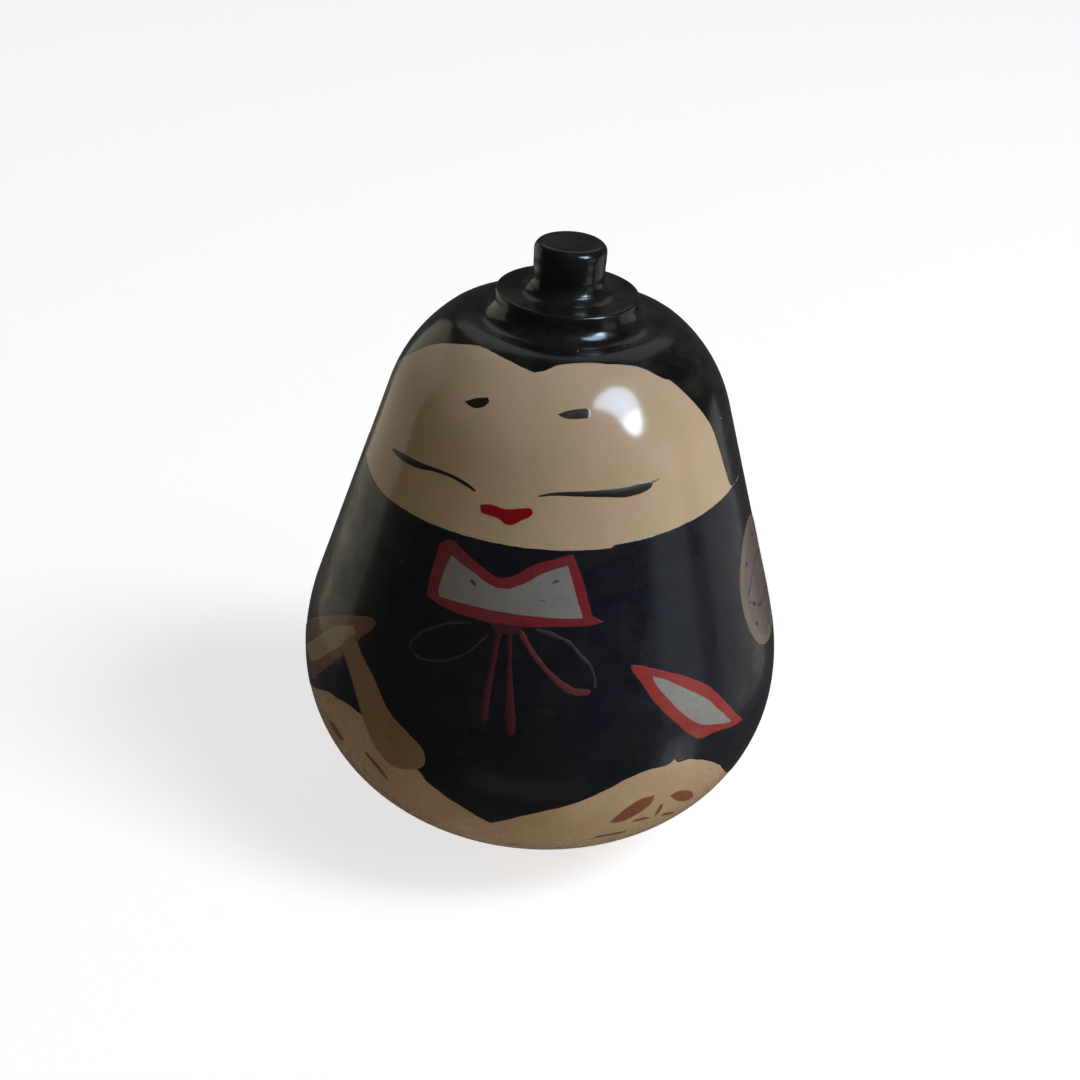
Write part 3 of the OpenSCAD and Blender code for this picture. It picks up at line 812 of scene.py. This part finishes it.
def bow():
    outer = outline(
        ((-20.2, 48.0), (-17.8, 48.8), (-15.5, 48.9)),
        ((-15.5, 48.9), (-12.0, 48.1), (-8.0, 47.3), (-3.8, 46.5), (-0.5, 46.2), (3.7, 47.0), (7.2, 48.1),
         (12.5, 48.9), (18.2, 49.6)),
        ((18.2, 49.6), (21.0, 47.0), (22.8, 44.5), (24.0, 42.7)),
        ((24.0, 42.7), (27.2, 42.0)),
        ((27.2, 42.0), (23.0, 41.6), (14.8, 41.5), (7.8, 41.2), (-2.0, 41.0), (-13.8, 41.3), (-19.8, 41.8)),
        ((-19.8, 41.8), (-20.7, 42.3), (-20.8, 45.0)),
    )
    inner = outline(
        ((-15.5, 47.2), (-11.5, 46.5), (-7.5, 45.9), (-3.8, 45.2), (0.5, 45.0), (5.0, 45.7), (10.5, 47.2),
         (16.8, 48.2)),
        ((16.8, 48.2), (18.5, 46.0), (21.2, 42.6)),
        ((21.2, 42.6), (15.5, 42.6), (7.2, 42.6), (-1.0, 42.6), (-9.8, 42.6), (-16.5, 42.5)),
        ((-16.5, 42.5), (-17.2, 43.2), (-16.6, 45.5)),
    )
    middle = ("bow_white", GREY_WHITE, "white_enamel")
    framed(outer, inner, middle, ("bow_outline", RED, "red_enamel"), lap=0.5)
    smudges = [
        ((-9.0, 45.3, 0.1), (-8.0, 45.05, 0.38), (-7.0, 44.7, 0.12)),
        ((12.8, 46.3, 0.1), (13.9, 46.5, 0.4), (14.9, 46.6, 0.12)),
        ((9.5, 44.35, 0.12), (11.5, 44.25, 0.16)),
    ]
    sheets = [stroke(line, MOTIF_TOP + 0.02, 0.02, CLOTH_R, 0.12) for line in smudges]
    piece("bow_smudges", sheets, SMUDGE, "white_enamel")


def bow_cords():
    knot = outline(
        ((-2.5, 41.4), (6.5, 41.4)),
        ((6.5, 41.4), (6.0, 40.7), (4.0, 40.2), (0.5, 40.1), (-1.6, 40.7)),
    )
    lines = [
        ((0.6, 40.9, 1.05), (0.2, 38.2, 0.82), (-0.1, 35.5, 0.88), (-0.5, 32.8, 1.0), (-0.5, 30.9, 1.08),
         (-0.3, 30.0, 0.9)),
        ((3.2, 40.9, 0.55), (3.7, 38.6, 0.6), (4.3, 35.9, 0.76), (5.0, 33.2, 1.0), (5.6, 30.8, 1.28),
         (6.0, 28.8, 1.1)),
    ]
    sheets = [stroke(line, CLOTH_TOP, 0.06, CLOTH_R, 0.1) for line in lines]
    sheets.append(fill([knot], LINE_TOP, CLOTH_R, 0.4))
    piece("bow_cords", sheets, CORD, "red_enamel", "bow_cords")


def bow_loops():
    left_loop = ((5.8, 40.8, 0.9), (8.0, 39.3, 0.75), (11.0, 37.6, 0.72), (14.0, 36.2, 0.8),
                 (16.8, 35.1, 0.95), (19.8, 34.3, 1.0), (23.8, 34.2, 0.7))
    sheet = stroke(left_loop, CLOTH_TOP, 0.05, CLOTH_R, 0.1)
    piece("bow_loops", [sheet], DULL_RED, "dull_red_enamel", "bow_loops")
    faint = [
        ((9.8, 41.1, 0.45), (14.2, 40.6, 0.45), (18.2, 39.8, 0.4), (21.0, 38.4, 0.4), (23.5, 37.2, 0.42),
         (24.8, 35.6, 0.4), (24.6, 34.6, 0.3)),
        ((-1.8, 39.9, 0.3), (-4.5, 38.4, 0.36), (-7.5, 36.9, 0.36), (-13.0, 35.5, 0.36), (-18.8, 35.0, 0.36),
         (-22.0, 35.9, 0.36), (-19.8, 37.7, 0.36), (-13.0, 39.8, 0.36), (-6.8, 40.6, 0.3)),
    ]
    sheets = [stroke(line, CLOTH_TOP + 0.01, 0.03, CLOTH_R, 0.16) for line in faint]
    piece("loop_returns", sheets, FAINT, "dull_red_enamel")


# ---------------------------------------------------------------- sleeves and the paddle
def left_cuff():
    outer = outline(
        ((33.8, 36.9), (37.8, 36.4), (47.2, 34.5), (52.5, 33.0), (56.5, 31.5), (61.5, 28.6), (64.5, 26.7),
         (68.5, 24.6)),
        ((68.5, 24.6), (64.0, 24.8), (56.8, 25.6), (52.8, 25.6), (49.5, 26.6), (45.0, 28.9), (40.2, 31.6),
         (37.0, 34.0), (34.0, 36.2)),
    )
    inner = outline(
        ((39.6, 35.0), (43.8, 34.0), (50.0, 32.0), (54.8, 30.2), (59.0, 27.9), (62.6, 25.9)),
        ((62.6, 25.9), (58.2, 26.6), (52.2, 27.8), (48.2, 29.4), (44.0, 31.8), (41.0, 33.7)),
    )
    middle = ("left_cuff_white", WHITE, "white_enamel")
    framed(outer, inner, middle, ("left_cuff_outline", CUFF_RED, "red_enamel"))


def right_cuff():
    outer = outline(
        ((-33.8, 36.3), (-36.0, 36.5), (-42.8, 35.2), (-50.5, 33.3), (-58.0, 31.0), (-66.0, 28.2),
         (-72.0, 25.6)),
        ((-72.0, 25.6), (-68.0, 24.0), (-62.0, 23.0), (-56.2, 22.6), (-49.8, 25.9), (-42.2, 30.0),
         (-37.8, 33.4), (-35.0, 35.0)),
    )
    inner = outline(
        ((-40.0, 33.6), (-42.2, 33.9), (-48.5, 32.2), (-53.5, 29.9), (-60.5, 26.6), (-65.5, 24.8)),
        ((-65.5, 24.8), (-59.5, 24.5), (-54.5, 26.0), (-49.0, 28.6), (-43.0, 31.6)),
    )
    middle = ("right_cuff_white", DIM_WHITE, "white_enamel")
    framed(outer, inner, middle, ("right_cuff_outline", DIM_RED, "red_enamel"))


def paddle():
    loop = outline(
        ((-41.2, 33.2), (-43.6, 31.6), (-43.2, 30.7)),
        ((-43.2, 30.7), (-39.5, 29.6), (-36.0, 27.8), (-32.2, 25.2), (-30.0, 23.4), (-26.0, 21.0),
         (-21.0, 20.1), (-15.5, 21.1)),
        ((-15.5, 21.1), (-13.6, 22.1), (-13.1, 23.2), (-14.2, 24.6), (-18.2, 25.9), (-22.8, 27.1),
         (-25.8, 28.3), (-29.5, 30.2), (-35.5, 32.0), (-39.5, 33.2)),
    )
    piece("paddle", [fill([loop], MOTIF_TOP + 0.05, CLOTH_R, 0.5)], PADDLE, "cream_enamel", "paddle")


# ---------------------------------------------------------------- the ball on the doll's left side
BALL_MIDDLE = (90.0, 38.2)
BALL_OUTER_R = 8.1
BALL_INNER_R = 6.8


def ball_circle(radius, shift=0.0):
    """A slightly uneven circle round the ball's middle, on the unrolled body."""
    middle = flat([BALL_MIDDLE], CLOTH_R)[0] + (shift, 0.0)
    turns = np.radians(np.arange(0.0, 360.0, 2.0))
    uneven = radius * (1 + 0.012 * np.sin(3 * turns + 1.0) + 0.008 * np.sin(5 * turns))
    return middle + np.stack([np.cos(turns), np.sin(turns)], -1) * uneven[:, None]


def ball():
    outer = ball_circle(BALL_OUTER_R)
    inner = ball_circle(BALL_INNER_R, 0.3)
    middle = ("ball_fill", BALL, "ball_enamel")
    framed(outer, inner, middle, ("ball_outline", BALL_LINE, "cream_enamel"), cell=0.6)
    bands = [
        ((90.0, 44.6, 0.4), (87.6, 41.5, 0.5), (86.8, 38.2, 0.5), (87.6, 34.9, 0.5), (90.0, 31.8, 0.4)),
        ((90.0, 44.6, 0.4), (93.2, 41.5, 0.5), (94.2, 38.2, 0.5), (93.2, 34.9, 0.5), (90.0, 31.8, 0.4)),
        ((77.5, 38.4, 0.4), (84.0, 40.3, 0.5), (90.0, 40.9, 0.5), (97.0, 40.3, 0.5), (103.5, 38.4, 0.4)),
        ((77.5, 38.0, 0.4), (84.0, 36.1, 0.5), (90.0, 35.5, 0.5), (97.0, 36.1, 0.5), (103.5, 38.0, 0.4)),
    ]
    sheets = [stroke(line, MOTIF_TOP + 0.01, 0.02, CLOTH_R, 0.2) for line in bands]
    piece("ball_bands", sheets, SMUDGE, "ball_enamel")
    dots = [(80.5, 34.5), (81.0, 36.9), (80.8, 42.0), (99.5, 34.6), (99.2, 42.0)]
    dabs = [((azimuth - 0.6, height, 0.7), (azimuth + 0.6, height, 0.7)) for azimuth, height in dots]
    sheets = [stroke(dab, MOTIF_TOP + 0.02, 0.03, CLOTH_R, 0.1) for dab in dabs]
    piece("ball_dots", sheets, INK, "ink")


# ---------------------------------------------------------------- flowers on the hem
def flowers():
    big = outline(
        ((31.0, 15.6), (33.8, 17.7), (37.2, 19.1), (41.4, 19.3)),
        ((41.4, 19.3), (40.9, 17.7), (37.5, 16.1), (34.2, 15.4)),
    )
    small = outline(
        ((46.0, 18.3), (48.8, 18.5), (53.4, 17.3), (55.4, 15.5), (52.2, 15.6), (48.2, 17.0)),
    )
    far = outline(
        ((-47.0, 19.6), (-43.5, 19.9), (-40.0, 18.9), (-41.5, 18.1), (-45.0, 18.4)),
    )
    sheets = [fill([loop], 0.05, CLOTH_R, 0.4) for loop in (big, small, far)]
    piece("flower_petals", sheets, RUST, "rust_enamel", "flower_petals")
    lines = [
        ((44.4, 17.1, 0.4), (44.5, 15.9, 0.75), (44.2, 14.8, 0.7)),
        ((37.6, 14.9, 0.5), (40.2, 14.9, 0.85), (42.8, 14.6, 0.4)),
        ((46.6, 14.4, 0.6), (48.8, 14.0, 0.8), (51.5, 13.4, 0.35)),
        ((29.0, 12.3, 0.6), (33.5, 12.4, 0.95), (38.0, 12.5, 0.5)),
        ((6.5, 10.0, 0.3), (8.5, 10.1, 0.45), (10.5, 10.0, 0.25)),
        ((-31.2, 19.7, 0.6), (-27.0, 18.3, 0.95), (-24.6, 16.9, 0.5)),
        ((-50.0, 15.4, 0.3), (-46.0, 14.6, 0.55), (-43.0, 13.6, 0.3)),
    ]
    sheets = [stroke(line, GROUND_TOP, 0.05, CLOTH_R, 0.12) for line in lines]
    piece("flower_stamens", sheets, STAMEN, "rust_enamel", "flower_stamens")


# ---------------------------------------------------------------- topknot
def arc_points(centre_r, centre_z, radius, first, last, count=8):
    """(radius, height) points along an arc, by the angle of its outward direction in degrees."""
    angles = [math.radians(first + (last - first) * i / count) for i in range(count + 1)]
    return [(centre_r + radius * math.cos(a), centre_z + radius * math.sin(a)) for a in angles]


TOP_Z = (CAD_BOX[1].z - CAD_BOX[0].z) / UNIT
RING_COVE = (10.5, 70.51)  # middles of the hollow curves at the feet of the ring and the topknot
RING_COVE_R = 2.15
RING_TOP_Z = 71.41
RING_ROUND = 0.35
KNOT_COVE = (5.9, 73.21)
KNOT_COVE_R = 1.8
KNOT_R = 4.2
KNOT_ROUND = 0.95


def bun_ring():
    foot = [(10.95, 68.1), (10.85, 68.33), (10.75, 68.36)]
    cove = arc_points(*RING_COVE, RING_COVE_R, 270.0, 180.0, 14)
    rim = arc_points(8.0, RING_TOP_Z - RING_ROUND, RING_ROUND, 0.0, 90.0)
    flare = arc_points(*KNOT_COVE, KNOT_COVE_R, 270.0, 214.0, 12)
    profile = foot + cove + rim + [(7.4, RING_TOP_Z), (6.7, RING_TOP_Z)] + flare
    lathe("bun_ring", profile, BLACK, "black_lacquer", "bun_ring", 0.03)


def topknot():
    fillet = arc_points(*KNOT_COVE, KNOT_COVE_R + 0.01, 228.0, 180.0)
    side = [(KNOT_R - 0.09 + 0.015 * i, KNOT_COVE[1] + 0.5 * i) for i in range(1, 6)]
    edge = arc_points(KNOT_R - KNOT_ROUND, TOP_Z - KNOT_ROUND, KNOT_ROUND, 0.0, 90.0, 10)
    disc = [(r, TOP_Z) for r in (2.6, 2.0, 1.2, 0.4)]
    lathe("topknot", fillet + side + edge + disc, BLACK, "black_lacquer", "topknot", 0.035)


# ---------------------------------------------------------------- carried-over wood and metal
def finish_core():
    """The turned wood, and the weight and screw inside it, keep their CAD shapes and get their materials."""
    finishes = {
        "body_shell": BARE_WOOD,
        "base_cap": BASE_WOOD,
        "ballast_weight": IRON,
        "ballast_washer": STEEL,
        "ballast_screw": STEEL,
    }
    for node, material in finishes.items():
        for place in frame["nodes"][node].material_slots:
            place.material = material


# ---------------------------------------------------------------- camera
TARGET = Vector((0.0, 0.0, MID_Z * UNIT))
CAMERA_AZIMUTH = 11.0
CAMERA_ELEVATION = 32.3
CAMERA_DISTANCE = 0.24
CAMERA_LENS = 61.9
CAMERA_SHIFT = 0.0966  # lowers the doll in the frame
CAMERA_ROLL = 4.47  # the doll's top leans to the right


def direction(azimuth, elevation):
    """Unit vector from the doll towards that azimuth and elevation in degrees."""
    a, e = math.radians(azimuth), math.radians(elevation)
    return Vector((math.sin(a) * math.cos(e), -math.cos(a) * math.cos(e), math.sin(e)))


def camera():
    data = bpy.data.cameras.new("camera")
    data.lens = CAMERA_LENS
    data.shift_y = CAMERA_SHIFT
    data.clip_start = 0.01
    data.clip_end = 20.0
    obj = bpy.data.objects.new("camera", data)
    back = direction(CAMERA_AZIMUTH, CAMERA_ELEVATION)
    obj.location = TARGET + back * CAMERA_DISTANCE
    turn = (-back).to_track_quat("-Z", "Y").to_matrix() @ Matrix.Rotation(math.radians(CAMERA_ROLL), 3, "Z")
    obj.rotation_mode = "QUATERNION"
    obj.rotation_quaternion = turn.to_quaternion()
    bpy.context.collection.objects.link(obj)
    bpy.context.scene.camera = obj


# ---------------------------------------------------------------- studio
FLOOR_SIZE = 6.0
FLOOR_GREY = (0.45, 0.45, 0.45)
FLOOR_GLOW = 0.72
TABLE_BROWN = (0.62, 0.46, 0.30)
TABLE_DEPTH = 0.001  # how far the table lies below the floor, in metres
ROOM_GLOW = 0.055
LIGHT_DISTANCE = 1.0
BLACK_CARD = (0.0, 0.0, 0.0)
WHITE_GLOW = (1.0, 1.0, 1.0)

# Corners of the window and of its brighter lower part, (azimuth, elevation) as the doll sees them
WINDOW = (
    (45.0, 54.0), (54.0, 58.0), (65.0, 60.0), (77.0, 59.0), (86.0, 54.0), (86.0, 47.0), (81.0, 39.0),
    (77.0, 33.0), (73.0, 27.0), (68.0, 25.5), (64.0, 30.0), (62.0, 36.0), (60.0, 42.0), (56.0, 47.0),
    (46.0, 51.0),
)
WINDOW_FOOT = ((62.0, 38.0), (80.0, 40.0), (77.0, 33.0), (73.0, 28.0), (68.0, 26.5), (64.0, 31.0))

# The room's lights: name, azimuth, elevation, width and height in metres, radiance, colour, seen in the gloss
ROOM_LIGHTS = (
    ("daylight", 74.0, 48.0, 0.45, 0.40, 21.5, (0.92, 0.94, 0.98), False),
    ("table_glow", 88.0, -35.0, 0.5, 0.3, 6.8, (1.0, 0.97, 0.9), False),
    ("window_in_table", 83.0, -28.0, 0.30, 0.25, 1.2, (0.82, 0.90, 1.0), True),
    ("table_sheen", 11.0, -42.0, 0.8, 0.3, 0.15, (1.0, 0.95, 0.85), True),
    ("side_wall", 82.0, 0.0, 0.42, 0.50, 0.58, (0.82, 0.90, 1.0), True),
    ("far_right_wall", 125.0, -12.0, 0.7, 0.5, 0.38, (1.0, 1.0, 1.0), True),
    ("left_wall", -116.0, 4.0, 0.9, 0.9, 0.42, (1.0, 0.94, 0.74), True),
    ("back_ceiling", 190.0, 45.0, 0.9, 0.5, 0.35, (1.0, 1.0, 1.0), True),
)


def card_material(name, colour, glow, strength):
    """Plain matt paint of that colour, which glows in the other one."""
    material = bpy.data.materials.new(name)
    material.use_nodes = True
    shader = material.node_tree.nodes["Principled BSDF"]
    shader.inputs["Base Color"].default_value = (*colour, 1.0)
    shader.inputs["Roughness"].default_value = 0.9
    shader.inputs["Emission Color"].default_value = (*glow, 1.0)
    shader.inputs["Emission Strength"].default_value = strength
    return material


def staged_card(name, corners, material):
    """One flat face for the stage, from its corners in metres."""
    mesh = bpy.data.meshes.new(name)
    mesh.from_pydata([tuple(corner) for corner in corners], [], [tuple(range(len(corners)))])
    mesh.materials.append(material)
    obj = bpy.data.objects.new(name, mesh)
    bpy.context.collection.objects.link(obj)
    return obj


def level_plane(name, height, material):
    """A square of floor round the doll."""
    half = FLOOR_SIZE / 2
    corners = [(x * half, y * half, height) for x, y in ((-1, -1), (1, -1), (1, 1), (-1, 1))]
    return staged_card(name, corners, material)


def floor():
    """A pale floor that only the camera sees, and a wooden table that only lights the doll from below."""
    foot = CAD_BOX[0].z
    seen = level_plane("floor", foot, card_material("floor_paint", FLOOR_GREY, WHITE_GLOW, FLOOR_GLOW))
    seen.visible_diffuse = False
    seen.visible_glossy = False
    seen.visible_shadow = False
    table = card_material("bounce_paint", TABLE_BROWN, WHITE_GLOW, 0.0)
    bounce = level_plane("bounce", foot - TABLE_DEPTH, table)
    bounce.visible_camera = False
    bounce.visible_glossy = False
    bounce.visible_shadow = False


def world():
    room = bpy.data.worlds.new("studio")
    room.use_nodes = True
    background = room.node_tree.nodes["Background"]
    background.inputs["Color"].default_value = (1.0, 0.97, 0.92, 1.0)
    background.inputs["Strength"].default_value = ROOM_GLOW
    bpy.context.scene.world = room


def glowing_card(name, corners, distance, colour, strength):
    """A card that far away, square to the doll, which shows only as a reflection in the gloss."""
    ways = [direction(*corner) for corner in corners]
    middle = sum(ways, Vector()).normalized()
    points = [TARGET + way * distance / way.dot(middle) for way in ways]
    card = staged_card(name, points, card_material(name, BLACK_CARD, colour, strength))
    card.visible_diffuse = False


def soft_light(name, azimuth, elevation, width, height, radiance, colour, in_gloss):
    """A rectangular light that faces the doll, of that size in metres and that brightness."""
    light = bpy.data.lights.new(name, "AREA")
    light.shape = "RECTANGLE"
    light.size = width
    light.size_y = height
    light.energy = radiance * math.pi * width * height
    light.color = colour
    obj = bpy.data.objects.new(name, light)
    obj.location = TARGET + direction(azimuth, elevation) * LIGHT_DISTANCE
    obj.rotation_mode = "QUATERNION"
    obj.rotation_quaternion = direction(azimuth, elevation).to_track_quat("Z", "Y")
    obj.visible_glossy = in_gloss
    bpy.context.collection.objects.link(obj)


def studio():
    floor()
    world()
    glowing_card("window", WINDOW, 1.0, (0.55, 0.73, 1.0), 15.5)
    glowing_card("window_foot", WINDOW_FOOT, 0.98, (0.68, 0.87, 1.0), 32.0)
    for row in ROOM_LIGHTS:
        soft_light(*row)
    bpy.context.scene.view_settings.view_transform = "Standard"


face_coat()
hem_coat()
hair_coat()
kimono_coat()
eyebrows()
eyes()
lips()
bow()
bow_cords()
bow_loops()
left_cuff()
right_cuff()
paddle()
ball()
flowers()
bun_ring()
topknot()
finish_core()
studio()
camera()
